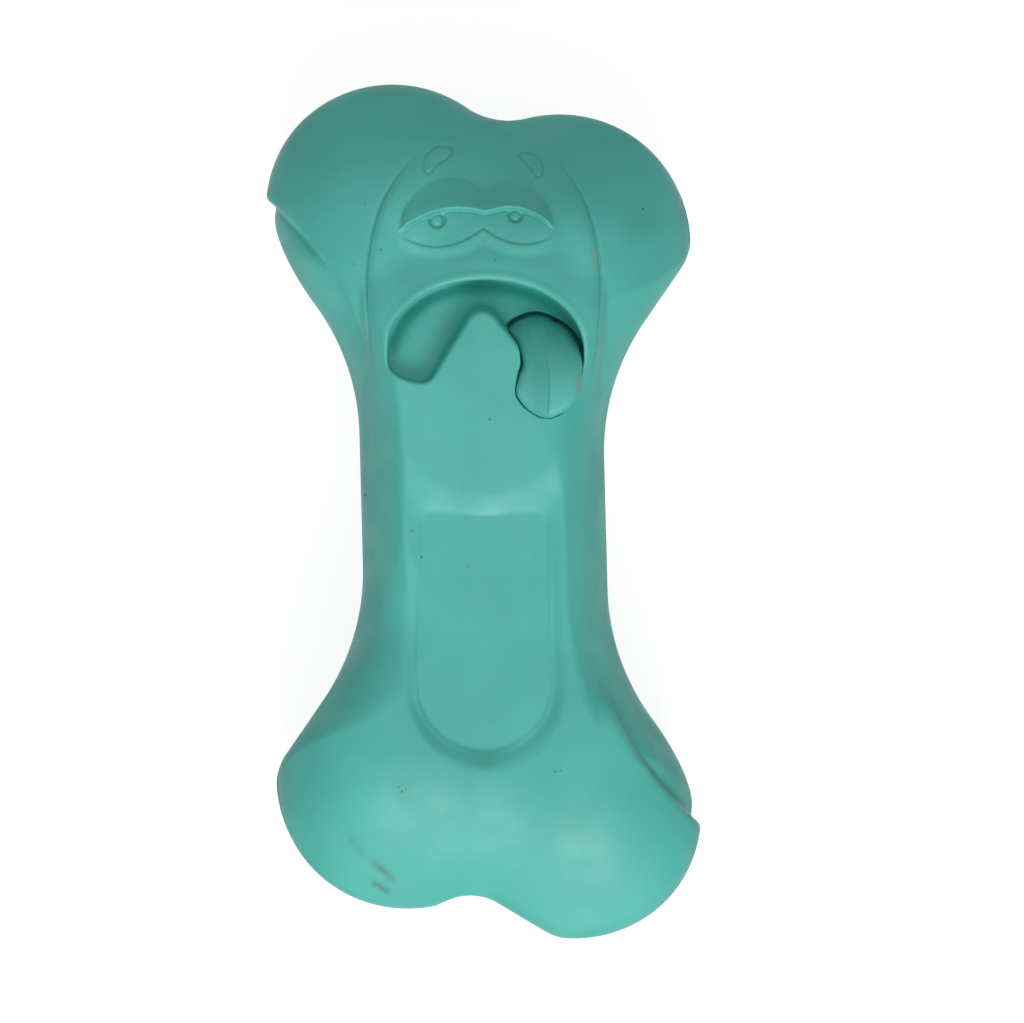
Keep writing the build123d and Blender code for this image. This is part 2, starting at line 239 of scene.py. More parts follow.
TONGUE_CREST = (20.8, 42.9)     # where along the toy the tongue is highest, and how high
TONGUE_BEND = 26                # twice the radius that it is arched with
TONGUE_EDGE = 1.2
TONGUE_THICK = (2.4, 0.8)       # its thickness, and how much less it is towards the throat
TONGUE_THIN = 1.3               # and at the narrow place on its left, so that it can swing
NECK_RADIUS = 2.2
NECK_LEVELS = (33.6, 35.6)
BED_DEPTH = 2.7                 # the tongue's bed in the chin lies this far under its top
BED_GAP = (0.05, 0.3)           # round the tongue in its bed, and more at its narrow place
NARROW_PLACE = (9, 25.3, 2.0)   # it is left of this, about this far along, and this wide
PANEL_MIDDLE = 0.15
PANEL_FLOOR = (11.0, 0.5, -0.1, -41.6, 2.2)    # half width, how much it widens, top, bottom and corner
PANEL_MARGIN = (11.5, 1.8, 0.4, -45.5, 2.4)    # the same for the slope round the floor
PANEL_SPAN = (20, 33)
MOUTH_RIM = 42                  # level of the lips
MOUTH_UNDERCUT = 0.1            # the mouth widens inwards by this much for each millimetre
MOUTH_EDGE, MOUTH_FLOOR_EDGE, PEAK_FOOT_EDGE = 0.7, 1.4, 1.2
PEAK_LEVEL = 41.8
PEAK_SLOPE = (0.1, 0.08)        # the peak widens downwards by this much, and more on its left


def lid_edge(x):
    """Lower edge of the upper lids: one arch over each eye."""
    left, right = (top - ((x - middle) / width) ** 2 for top, middle, width in LID_ARCHES)
    return smooth_max(left, right, 1.0)


def lid_top(x):
    """Where the lids begin, on the brow."""
    left, right = (rise * np.maximum(1 - ((x - middle) / half) ** 2, 0) ** power
                   for rise, middle, half, power in LID_TOPS)
    return LID_FOOT + np.maximum(left, right)


def eye_line(x):
    """Lower edge of the eyes: a hanging curve under each."""
    left, right = (low + ((x - middle) / width) ** 2 for low, middle, width in EYE_LINES)
    return np.minimum(left, right)


def groove_middle(y):
    """Where the line along the tongue runs."""
    return np.interp(y, TONGUE_GROOVE[::-1, 1], TONGUE_GROOVE[::-1, 0])


def peak_distance(x, y):
    """The peak of the chin: two flanks that meet in a round tip."""
    left, right = ((x - at[0]) * out[0] + (y - at[1]) * out[1] for at, out in PEAK_FLANKS)
    return round_cross(left, right, PEAK_TIP_RADIUS)


def panel_distance(x, y, half, top, bottom, corner):
    """Signed distance to a panel outline with a round lower end and rounded upper corners."""
    low = np.hypot(x, y - (bottom + half)) - half
    qx, qy = np.abs(x) - (half - corner), y - (top - corner)
    high = np.minimum(np.maximum(qx, qy), 0) + np.hypot(np.maximum(qx, 0), np.maximum(qy, 0)) - corner
    return np.where(y > bottom + half, np.maximum(high, np.abs(x) - half), low)


def crown_fall(x, y):
    """How far the front falls away towards its ends."""
    low = ramp(x * np.sign(y), *CROWN_BLEND)
    radius = mixed(CROWN_RADIUS, low)
    beyond = np.maximum(np.abs(y) - mixed(CROWN_START, low), 0)
    return radius - np.sqrt(np.maximum(radius ** 2 - beyond ** 2, 1))


def chipped(outline, x, y):
    """The valley at the lower end is a wide round that runs straight towards the high lobe."""
    return smooth_max(outline, -capsule(x, y, *VALLEY_CUT), VALLEY_CUT_EDGE)


def long_capsule(x, y, a, b, radius):
    """A capsule whose round ends are drawn out, for the doming of the lobes."""
    px, py = x - a[0], y - a[1]
    dx, dy = b[0] - a[0], b[1] - a[1]
    length = np.hypot(dx, dy)
    along = (px * dx + py * dy) / length
    beyond = np.maximum(along - length, 0) + np.maximum(-along, 0)
    across = (px * dy - py * dx) / length
    return np.hypot(across, END_SHARE * beyond) - radius


def arc_drop(depth, width, radius):
    """How far a rounded margin falls at a depth inside its edge."""
    return radius - np.sqrt(radius ** 2 - np.clip(width - depth, 0, width) ** 2)


# Relief of the face, in heights over the plain front
def panel_floor(x, y):
    """Signed distance to the outline of the dished panel's floor."""
    half, widen, top, bottom, corner = PANEL_FLOOR
    dip = 0.55 * bell(x, 6.0)
    return panel_distance(x - PANEL_MIDDLE, y, half + widen * ramp(-y, 5, 30), top - dip, bottom, corner)


def face_rise(x, y, face, arch):
    """The chin climbs from the shaft to the mouth, and above it the rise keeps to the upper lip."""
    chin_top, chin_fall, chin_start, chin_length = 42.1, 2.3, 34, 31
    level = chin_top - chin_fall * (np.maximum(chin_start - y, 0) / chin_length) ** 1.6
    rise = level - pillow_level(y)
    above = ramp(y, 26, 42)
    rise = rise * (1 - above * ramp(arch, 0.5, 9.0))
    low = 1 - ramp(y, 14, 26)
    panel = np.maximum(panel_floor(x, y), 0)
    out = np.maximum(face, 0)
    reach = smooth_min(out + panel, 1.5 + 5.0 * low, 1.5)
    fall = np.clip(out / np.maximum(reach, 0.3), 0, 1) ** 2
    apart = ramp(panel, 0.3, 3.0)
    below = (SHAFT_TOP - PANEL_LEVEL) * (1 - apart) * low
    return rise * (1 - fall) ** (1 + apart) - below * fall


def face_groove(y, face):
    """A groove round the face, crisp at the sides and faint elsewhere, and a flat rim inside it."""
    faint, crisp, width, rim = 0.015, 0.34, 0.28, 0.3
    side = between(y, *FACE_SIDES)
    groove = (faint + crisp * side) * bell(face, width)
    return rim * ramp(-face, 0.2, 1.4) * (1 - ramp(-face, 2.4, 6.0)) * side - groove


def cheeks(x, y, face):
    """Cheeks dish in between the eyes' outer ends and the rim."""
    depth, middle, size = 0.55, (14, 45), (5, 8)
    within = ramp(-face, 2.0, 6.0)
    hollow = bell(np.hypot((np.abs(x) - middle[0]) / size[0], (y - middle[1]) / size[1]), 1)
    return -depth * within * hollow


def lids(x, y):
    """Each lid swells from the brow down to its edge and ends there in a rolled edge."""
    height, belly, full_span, least_span = 1.45, 0.12, 4.0, 0.6
    edge, crest = lid_edge(x), lid_top(x)
    span = np.maximum(crest - edge, least_span)
    over = np.clip((crest - y) / span, 0, 1)
    across = between(x, -15.2, -13.6, 11.2, 12.7) * (1 - 0.25 * bell(x - 0.3, 1.8))
    swell = height * (over + belly * np.sin(np.pi * over)) * np.clip(span / full_span, 0, 1) * across
    return swell * ramp(y - edge, -0.4, 0.4)


def eyes(x, y):
    """Low swells with a fine line under them and bags that fall away below the line."""
    swell, line_depth, pupil_rise, pupil_groove = 0.55, 0.2, 0.05, 0.36
    line, edge = eye_line(x), lid_edge(x)
    left, right = (2 * (x - middle) / width ** 2 for _, middle, width in EYE_LINES)
    slope = np.where(x < EYES_MEET, left, right)
    below = (line - y) / np.hypot(1, slope)
    ends = between(x, -15.5, -12.0, 10.0, 13.0)
    lid_side = 1 - ramp(y - edge, -0.3, 4.0)
    h = swell * ends * (1 - ramp(below, 0.1, 2.6)) * lid_side
    crease = np.where(below > 0, bell(below, 0.22), np.exp(below / 0.7))
    h -= line_depth * crease * ends * ramp(edge - y, 0.2, 0.8)
    open_eye = 1 - ramp(y - edge, -0.9, -0.3)
    for at, radius in PUPILS:
        d = np.hypot(x - at[0], y - at[1]) - radius
        h += (pupil_rise * ramp(-d, -0.1, 0.5) - pupil_groove * bell(d, 0.34)) * open_eye
    return h


def brows(x, y):
    """Outlined by a fine groove, with the lower end swollen."""
    swell, groove, width = 0.5, 0.16, 0.26
    h = np.zeros(x.shape)
    for line in BROWS:
        d = outline_distance(line, x, y, BROW_REACH)
        low_end = 1 - ramp(y, 59.0, 61.0)
        h += swell * low_end * ramp(-d, -0.1, 0.9) - groove * bell(d, width)
    return h


def lips(x, y, arch, peak):
    """A slight bead along the upper lip, and a swelling on the peak of the chin."""
    bead, peak_rise = 0.16, 0.2
    upper = ramp(y, 22.5, 27)
    h = bead * bell(arch - 1.0, 0.7) * upper
    return h + peak_rise * ramp(-peak, 0, 3.5) * bell(np.hypot(x / 6, (y - 31) / 6), 1)


def panel_level(x, y, pillow):
    """Height of the panel's floor and of the slope round it: short at the sides, long at the lower end."""
    dish, outer_slope = 0.35, 1.2
    half, widen, top, bottom, corner = PANEL_MARGIN
    floor = panel_floor(x, y)
    low_end = ramp(-y, *PANEL_SPAN)
    margin = panel_distance(x - PANEL_MIDDLE - 0.5 * low_end, y, half + widen * low_end, top, bottom, corner)
    share = np.maximum(floor, 0) / (np.maximum(floor, 0) + np.maximum(-margin, 0) + 1e-6)
    level = PANEL_LEVEL - dish * (1 - ramp(-y, 8, 36))
    return level + (pillow - level) * share + outer_slope * np.maximum(margin, 0)


def front_relief(x, y, face, arch, peak):
    """All of the face's relief together."""
    h = face_rise(x, y, face, arch) + face_groove(y, face) + cheeks(x, y, face)
    return h + lids(x, y) + eyes(x, y) + brows(x, y) + lips(x, y, arch, peak)


def mouth_floor(x, y, arch, peak, tongue_edge):
    """Level of the mouth's floor: higher left of the peak, lower at the upper lip and under the tongue."""
    level, tilt, left_rise, right_drop, rim_drop, tongue_drop = 37.3, 0.2, 1.4, 1.2, 1.2, 1.5
    floor = level + left_rise * ramp(peak, 0.5, 8) * ramp(-x, -2, 8) - tilt * (y - 26)
    floor = floor - right_drop * ramp(x, 3, 9)
    floor = floor + bell(np.hypot(x / 5, (y - 37) / 3), 1) - rim_drop * bell(arch, 1.5) * ramp(y, 26, 31)
    return floor - (tongue_drop + LIFT) * (1 - ramp(tongue_edge, 0.3, 0.9))


def pillow_level(y):
    """Level of the front along its middle: flat on the shaft and a little higher on the lobes."""
    return SHAFT_TOP + (CAP_TOP - SHAFT_TOP) * ramp(np.abs(y), *CAP_SPAN)


def pillow_height(top, dome):
    """Height of the front before its relief."""
    inward = np.clip((dome + DOME_WIDTH) / DOME_WIDTH, 0, 1)
    return DOME_FOOT + (top - DOME_FOOT) * (1 - inward ** DOME_POWER) ** (1 / DOME_POWER)


def both_ways(distance, x, y):
    """A shape together with its half-turn image."""
    return np.minimum(distance(x, y), distance(-x, -y))


def flare(x, y):
    """What is left open beside the shaft on its left: a long round, with a straight run at its lower end."""
    side = SHAFT_HALF + FLARE_RADIUS
    high_y, low_y = FLARE_START
    middle = np.array((-side + SHAFT_LEAN, -low_y))
    round_part = capsule(x, y, (-side - SHAFT_LEAN, high_y), middle, FLARE_RADIUS)
    turn = np.radians(FLARE_TURN)
    out = np.array((np.cos(turn), -np.sin(turn)))
    across = (x - middle[0]) * out[0] + (y - middle[1]) * out[1] - FLARE_RADIUS
    along = (x - middle[0]) * out[1] - (y - middle[1]) * out[0]
    return np.where(along > 0, across, round_part)


def high_layer(x, y):
    """The round whose edge is the overhang of the upper left lobe."""
    (middle_x, middle_y), radius = LIP_CIRCLE
    return np.hypot(x - middle_x, y - middle_y) - radius


def tongue_top(x, y):
    """Height of the tongue: arched along its length, with a lower bank to the left of a line along it."""
    step, bank_slope, bank_width = 0.2, 0.3, 3.6
    crest_y, crest = TONGUE_CREST
    middle = groove_middle(y)
    left = np.maximum(middle - x, 0)
    bank = step * ramp(left, 0.0, 0.4) + bank_slope * smooth_min(left, bank_width, 1.5)
    return crest - (y - crest_y) ** 2 / TONGUE_BEND - bank - 0.03 * np.maximum(x - middle - 1, 0) ** 2


def plan(x, y):
    """Everything about the pieces that depends on the plan alone."""
    p = {"x": x, "y": y}
    away = np.abs(y)
    hx, hy = HIGH_LOBE
    lx, ly = LOW_LOBE
    bx, by = BONE_LOBE
    valley = np.where(y > 0, VALLEY_RADIUS[0], VALLEY_RADIUS[1])
    bone = round_union(capsule(x, y, (-bx, by), (-lx, -ly), LOBE_RADIUS),
                       capsule(x, y, (lx, ly), (bx, -by), LOBE_RADIUS), valley)
    waist = both_ways(flare, x, y)
    low_side = ramp(x * y, -LOW_SIDE_BLEND, LOW_SIDE_BLEND)
    p["bone"] = chipped(round_cross(bone, -waist, mixed(FLARE_CORNER, low_side)), x, y)
    rise = ramp(away, *FLANK_SPANS[0]) + ramp(away, *FLANK_SPANS[1])
    p["flank"] = FLANK_LEVEL + FLANK_LIFT * rise * low_side
    softer = CREASE[1] * ramp(away, *CREASE_SPANS[0]) - CREASE[2] * ramp(away, *CREASE_SPANS[1])
    p["crease"] = CREASE[0] + softer * low_side
    left = capsule(x, y, (-hx, hy), (-lx, -ly), LOBE_RADIUS)
    right = capsule(x, y, (lx, ly), (hx, -hy), LOBE_RADIUS)
    cap = chipped(round_union(left, right, valley), x, y)
    p["cap"] = np.where(x * y > 0, round_cross(cap, -waist, FLARE_CORNER[1]), cap)
    ends = smooth_min(long_capsule(x, y, (-hx, hy), (-lx, -ly), LOBE_RADIUS),
                      long_capsule(x, y, (lx, ly), (hx, -hy), LOBE_RADIUS), DOME_BLEND)
    middle = long_capsule(x, y, (0, ly), (0, -ly), SHAFT_HALF)
    p["dome"] = smooth_min(ends, middle, DOME_BLEND)
    p["top"] = pillow_level(y) - crown_fall(x, y)
    high = both_ways(high_layer, x, y)
    p["lip"] = -high
    deep = LEDGE_DROP[0] + LEDGE_DROP[1] * ramp(away, *LEDGE_DROP_SPAN)
    groove = LEDGE_GROOVE[0] * bell(high + LEDGE_STEP, LEDGE_GROOVE[1])
    p["ledge"] = (deep * ramp(-high, -LEDGE_STEP, LEDGE_STEP) + groove) * ramp(away, *LEDGE_SPAN)
    p["drop"] = arc_drop(high, *CAP_MARGIN)
    low_sink = CAP_SINK_LOW * ramp(x * np.sign(y), *CAP_SINK_LOW_SPAN)
    p["sink"] = CAP_SINK * np.maximum(1 - ramp(away, *CAP_SINK_SPAN), low_sink)
    face = outline_distance(FACE, x, y)
    p["mouth"] = outline_distance(MOUTH, x, y, 10.0)
    p["peak"] = peak_distance(x, y)
    p["slope"] = PEAK_SLOPE[0] + PEAK_SLOPE[1] * ramp(-x, -3, 2)
    p["relief"] = front_relief(x, y, face, p["mouth"], p["peak"])
    p["panel"] = panel_level(x, y, pillow_height(p["top"], p["dome"]))
    p["tongue_edge"] = outline_distance(TONGUE, x, y)
    p["tongue_top"] = tongue_top(x, y)
    p["pocket"] = mouth_floor(x, y, p["mouth"], p["peak"], p["tongue_edge"])
    p["bed"] = p["tongue_top"] - BED_DEPTH
    narrow_x, narrow_y, narrow_width = NARROW_PLACE
    p["gap"] = BED_GAP[0] + BED_GAP[1] * bell(y - narrow_y, narrow_width) * (x < narrow_x)
    return p


# Solids: each is a signed distance over a plan and a height
def front(p, z):
    """The front shell, without its underside and its hollows."""
    z = z - LIFT * ramp(z, SEAM, LIFT_FULL)
    flat = z - p["relief"] * ramp(z, *RELIEF_SPAN)
    ledge = flat + p["ledge"]
    pillow = domed(p["dome"], ledge, p["top"])
    bone = round_cross(pillow, rolled(p["bone"], ledge - p["flank"], FLANK_RADIUS), p["crease"])
    cap = domed(p["dome"], flat, p["top"] - p["drop"] - p["sink"])
    cap = round_cross(cap, p["cap"], END_ROUND)
    cap = round_cross(cap, p["lip"], LIP_EDGE)
    f = np.minimum(bone, cap)
    f = round_cross(f, z - p["panel"], PANEL_EDGE)
    flank = (p["slope"] * (PEAK_LEVEL - z) - p["peak"]) / np.hypot(1, p["slope"])
    pocket = round_cross(p["mouth"] + MOUTH_UNDERCUT * (z - MOUTH_RIM), flank, PEAK_FOOT_EDGE)
    f = round_cross(f, -smooth_max(pocket, p["pocket"] - z, MOUTH_FLOOR_EDGE), MOUTH_EDGE)
    bed = np.maximum(p["bed"] - z, p["tongue_edge"] - p["gap"])
    return np.maximum(f, -bed)


def bead(p, z, radius, half):
    """A short cylinder across the toy, at the tongue's root."""
    return np.maximum(np.hypot(p["y"] - BEAD[1], z - BEAD[2]) - radius, np.abs(p["x"] - BEAD[0]) - half)


def tongue(p, z):
    """A curved blade on a neck, with the bead that it turns on."""
    x, y = p["x"], p["y"]
    above = z - LIFT - p["tongue_top"]
    f = round_cross(p["tongue_edge"], above, TONGUE_EDGE)
    thin = TONGUE_THIN * (1 - ramp(-p["tongue_edge"], 0.2, 1.8))
    thin = thin * (1 - ramp(x, 7, 10)) * (1 - ramp(y, 27, 30))
    f = smooth_max(f, TONGUE_THICK[1] * ramp(y, 28, 33) + thin - TONGUE_THICK[0] - above, 0.6)
    across = np.hypot(x - BEAD[0], 1.1 * (y - BEAD[1]))
    neck = np.hypot(across, z - np.clip(z, NECK_LEVELS[0], NECK_LEVELS[1] + LIFT)) - NECK_RADIUS
    f = smooth_min(f, neck, 1.5)
    return np.minimum(f, bead(p, z, *BEAD_SIZE))


def chamber(p, z):
    """The closed air chamber that both shells share."""
    side = capsule(p["x"], p["y"], (0, -CHAMBER_HALF), (0, CHAMBER_HALF), CHAMBER_RADIUS)
    return round_cross(side, np.abs(z - CHAMBER_LEVEL) - CHAMBER_RISE, CHAMBER_EDGE)


def front_shell(p, z):
    """The front, cut off at the seam, with its half of the chamber and the socket of the tongue's bead."""
    f = round_cross(front(p, z), SEAM - z, SEAM_EDGE)
    f = np.maximum(f, -chamber(p, z))
    return np.maximum(f, -bead(p, z, *BEAD_SOCKET))


def rear_shell(p, z):
    """The back moulding: round lobes, a flat-backed waist, and the holes for the squeaker."""
    lobe = rolled(p["bone"], REAR_LOBE_ROLL - z, REAR_LOBE_ROLL)
    waist = np.maximum(rolled(p["bone"], REAR_FLANK_LEVEL - z, FLANK_RADIUS), -z)
    share = ramp(np.abs(p["y"]), *REAR_LOBE_SPAN)
    f = round_cross(waist + (lobe - waist) * share, z - SEAM, SEAM_EDGE)
    f = np.maximum(f, -chamber(p, z))
    ring = np.hypot(p["x"], p["y"])
    f = np.maximum(f, -round_cross(ring - FLANGE_RECESS[0], z - FLANGE_RECESS[1], FLANGE_EDGE))
    return np.maximum(f, -np.maximum(ring - NECK_HOLE[0], z - NECK_HOLE[1]))


# Meshes
def stretches(*stops):
    """Grid places along an axis, from pairs of a start and the spacing after it, to the last stop."""
    places = [np.arange(a, b - 0.5 * step, step) for (a, step), (b, _) in zip(stops[:-1], stops[1:])]
    return np.append(np.concatenate(places), stops[-1][0])


def zero_surface(field, axes):
    """Vertices and quads of the surface where a field is zero, on a grid of places."""
    gx, gy = np.meshgrid(axes[0], axes[1], indexing="ij")
    p = plan(gx, gy)
    vol = np.stack([field(p, z) for z in axes[2]], -1)
    cells = np.array(vol.shape) - 1
    total = np.zeros((cells.prod(), 3))
    count = np.zeros(cells.prod(), np.int32)
    quads = []
    for axis in range(3):
        cut = [slice(None)] * 3
        cut[axis] = slice(None, -1)
        following = [slice(None)] * 3
        following[axis] = slice(1, None)
        a, b = vol[tuple(cut)], vol[tuple(following)]
        hit = np.array(np.nonzero((a < 0) != (b < 0)))
        va, vb = a[tuple(hit)], b[tuple(hit)]
        at = [axes[k][hit[k]] for k in range(3)]
        gap = axes[axis][hit[axis] + 1] - axes[axis][hit[axis]]
        at[axis] = at[axis] + gap * va / (va - vb)
        u, w = (axis + 1) % 3, (axis + 2) % 3
        ring = []
        for du, dw in ((0, 0), (-1, 0), (-1, -1), (0, -1)):
            cell = hit.copy()
            cell[u] += du
            cell[w] += dw
            ring.append((cell[0] * cells[1] + cell[1]) * cells[2] + cell[2])
            for k in range(3):
                total[:, k] += np.bincount(ring[-1], at[k], len(count))
            count += np.bincount(ring[-1], minlength=len(count)).astype(np.int32)
        ring = np.stack(ring, 1)
        quads.append(np.where((va < 0)[:, None], ring, ring[:, ::-1]))
    used = np.nonzero(count)[0]
    index = np.full(len(count), -1, np.int64)
    index[used] = np.arange(len(used))
    return total[used] / count[used][:, None], index[np.vstack(quads)]


def on_surface(field, v, step, rounds=2, h=0.04):
    """Moves the vertices along the field's slope onto the surface, each time by a step at most."""
    least_slope = 0.1
    for _ in range(rounds):
        x, y, z = v.T
        here = plan(x, y)
        f = field(here, z)
        g = np.stack([field(plan(x + h, y), z) - field(plan(x - h, y), z),
                      field(plan(x, y + h), z) - field(plan(x, y - h), z),
                      field(here, z + h) - field(here, z - h)], 1) / (2 * h)
        move = f[:, None] * g / np.maximum((g ** 2).sum(1), least_slope)[:, None]
        length = np.linalg.norm(move, axis=1, keepdims=True)
        v = v - move * np.minimum(1, step / np.maximum(length, 1e-9))
    return v


def moulded(name, field, axes, step, painted_shade_and_smears=None):
    """A piece of rubber from a field, with the painted shade and the dirt of each place kept on its points.
    """
    v, quads = zero_surface(field, axes)
    v = on_surface(field, v, step)
    mesh = bpy.data.meshes.new(name)
    mesh.vertices.add(len(v))
    mesh.vertices.foreach_set("co", (v / MM_PER_M).astype(np.float32).ravel())
    mesh.loops.add(4 * len(quads))
    mesh.loops.foreach_set("vertex_index", quads.astype(np.int32).ravel())
    mesh.polygons.add(len(quads))
    mesh.polygons.foreach_set("loop_start", np.arange(0, 4 * len(quads), 4, dtype=np.int32))
    mesh.polygons.foreach_set("use_smooth", np.ones(len(quads), bool))
    mesh.update(calc_edges=True)
    if painted_shade_and_smears:
        shade_and_smear = mesh.attributes.new("painted_shade_and_smears", "FLOAT", "POINT")
        shade_and_smear.data.foreach_set("value", painted_shade_and_smears(*v.T).astype(np.float32))
    mesh.validate()
    piece = bpy.data.objects.new(name, mesh)
    bpy.context.scene.collection.objects.link(piece)
    return piece


# Smears on the lower left lobe: both ends, width and strength
SCUFFS = (
    ((-23.4, -56.9), (-21.4, -59.8), 0.7, 0.25),
    ((-19.0, -61.6), (-16.2, -64.2), 0.8, 0.6),
    ((-19.0, -65.3), (-17.0, -66.5), 0.7, 0.6),
)
SHADE_AND_SMEAR_LEVEL = 22                # there is no painted shade or smear below this


def front_painted_shade_and_smears(x, y, z):
    """How dark each place of the front is painted: painted shade in the fine lines of the face and under the
    lids, and dirt on the smears.
    """
    groove, eyes_line, lid_shade, pupil, brow_line = 0.3, 0.2, 0.3, 0.45, 0.4
    start, full, fade, end = FACE_SIDES
    face = outline_distance(FACE, x, y)
    side = ramp(y, start, full) * (1 - 0.75 * ramp(y, fade, end))
    # Painted shade along the face's groove, the lines under the eyes, the edges of the lids, the rings round
    # the pupils and the brows' outlines; the smears are dirt.
    shade_and_smear = groove * side * bell(face, 0.26)
    edge, line = lid_edge(x), eye_line(x)
    inside = between(x, -15.0, -12.5, 10.5, 12.5)
    shade_and_smear = np.maximum(shade_and_smear, eyes_line * bell(y - line, 0.25) * inside * (y < edge))
    shade_and_smear = np.maximum(shade_and_smear, lid_shade * bell(y - edge + 0.45, 0.3) * inside)
    for at, radius in PUPILS:
        d = np.hypot(x - at[0], y - at[1]) - radius
        shade_and_smear = np.maximum(shade_and_smear, pupil * bell(d, 0.35) * (y < edge - 0.2))
    for brow in BROWS:
        shade_and_smear = np.maximum(shade_and_smear, brow_line * bell(outline_distance(brow, x, y, BROW_REACH), 0.22))
    for a, b, width, share in SCUFFS:
        shade_and_smear = np.maximum(shade_and_smear, share * bell(capsule(x, y, a, b, 0), width))
    return shade_and_smear * (z > SHADE_AND_SMEAR_LEVEL)


def tongue_painted_shade(x, y, z):
    """Painted shade: the tongue is darker on its bank and towards the throat."""
    bank_shade, throat_shade = 0.13, 0.22
    left = groove_middle(y) - x
    bank = bank_shade * ramp(left, -0.1, 0.5) * (1 - 0.6 * ramp(left, 2.0, 5.0))
    return np.maximum(bank, throat_shade * ramp(y, 25, 32))


# Spacing of the grids: fine on the face, coarse on the plain rubber
FINE, MEDIUM, COARSE, LEVELS = 0.18, 0.45, 0.6, 0.25
front_axes = (stretches((-40, COARSE), (-22, FINE), (22, COARSE), (40, 0)),
              stretches((-77, COARSE), (-48, MEDIUM), (2, FINE), (68, COARSE), (77, 0)),
              stretches((19, COARSE), (32, LEVELS), (44.5, 0)))
rear_axes = (stretches((-38.5, COARSE), (38.5, 0)), stretches((-74, COARSE), (74, 0)),
             stretches((-1.5, COARSE), (21.5, 0)))
tongue_axes = (stretches((4, FINE), (18.6, 0)), stretches((15.4, FINE), (35.6, 0)),
               stretches((30.2, FINE), (45.6, 0)))
# The front and the tongue keep painted shade on their points, and the front also the dirt of its smears.
shells = {
    "front_rubber": moulded("front_rubber", front_shell, front_axes, FINE, front_painted_shade_and_smears),
    "rear_rubber": moulded("rear_rubber", rear_shell, rear_axes, COARSE),
    "tongue_rubber": moulded("tongue_rubber", tongue, tongue_axes, FINE, tongue_painted_shade),
}
for name, body, node in (("front_rubber", "body", "front_shell"), ("rear_rubber", "body", "rear_shell"),
                         ("tongue_rubber", "tongue", "tongue")):
    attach(shells[name], body)
    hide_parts(node)


# Materials
def srgb(*levels):
    """A colour from levels of 0 to 255, as they show on a screen."""
    parts = (((c / 255 + 0.055) / 1.055) ** 2.4 if c > 10 else c / 255 / 12.92 for c in levels)
    return tuple(parts) + (1.0,)


TEAL_SHADES = srgb(54, 167, 156), srgb(60, 175, 164)
SPECKLE, SMUDGE, STAIN = srgb(40, 120, 108), srgb(52, 140, 128), srgb(112, 142, 112)
# The last colour is the tint of painted shade in the fine lines and on the tongue, and of dirt on the
# smears.
RUBBED, PINHOLE, SHADE_AND_SMEAR_TINT = srgb(110, 170, 160), srgb(24, 66, 62), srgb(28, 92, 82)
RUBBER_GLOSS = 1.0
RUBBER_ROUGHNESS = (0.56, 0.66)
# Size of the patterns, in noise cells for each metre
CLOUD_SCALE, SPECKLE_SCALE, RAGGED_SCALE, SHINE_SCALE, GRAIN_SCALE = 55, 420, 900, 160, 1500
# Small marks on the front, each with its place and its radius in millimetres
PINHOLES = [(27.9, 53, 0.26), (-18, 45.8, 0.19), (-22.6, 43.3, 0.15), (-15.9, 36, 0.14), (2, 43.9, 0.15),
            (-20.7, 53.9, 0.14), (1.1, 16.1, 0.22), (-12.4, -3.4, 0.15), (-10.8, -8, 0.2),
            (-20.8, 2.9, 0.25), (21, -3.4, 0.15), (-2.7, -9.6, 0.14), (12.6, -45.5, 0.19),
            (13.5, -45.3, 0.15), (-14.3, -49, 0.22), (-13.6, -48.6, 0.15), (-14.8, -48.2, 0.15)]
SMUDGES = [(16.1, -56.0, 3.0), (27.5, 50.4, 3.2), (-14.0, -48.8, 1.6)]
STAINS = [(16.6, 23.0, 1.1), (16.9, 21.6, 0.9), (19.2, 45.4, 0.6), (19.4, 43.9, 0.7), (19.6, 42.4, 0.6)]
RUBBED_PLACES = [(0.2, 33.2, 1.6)]    # the tip of the chin's peak


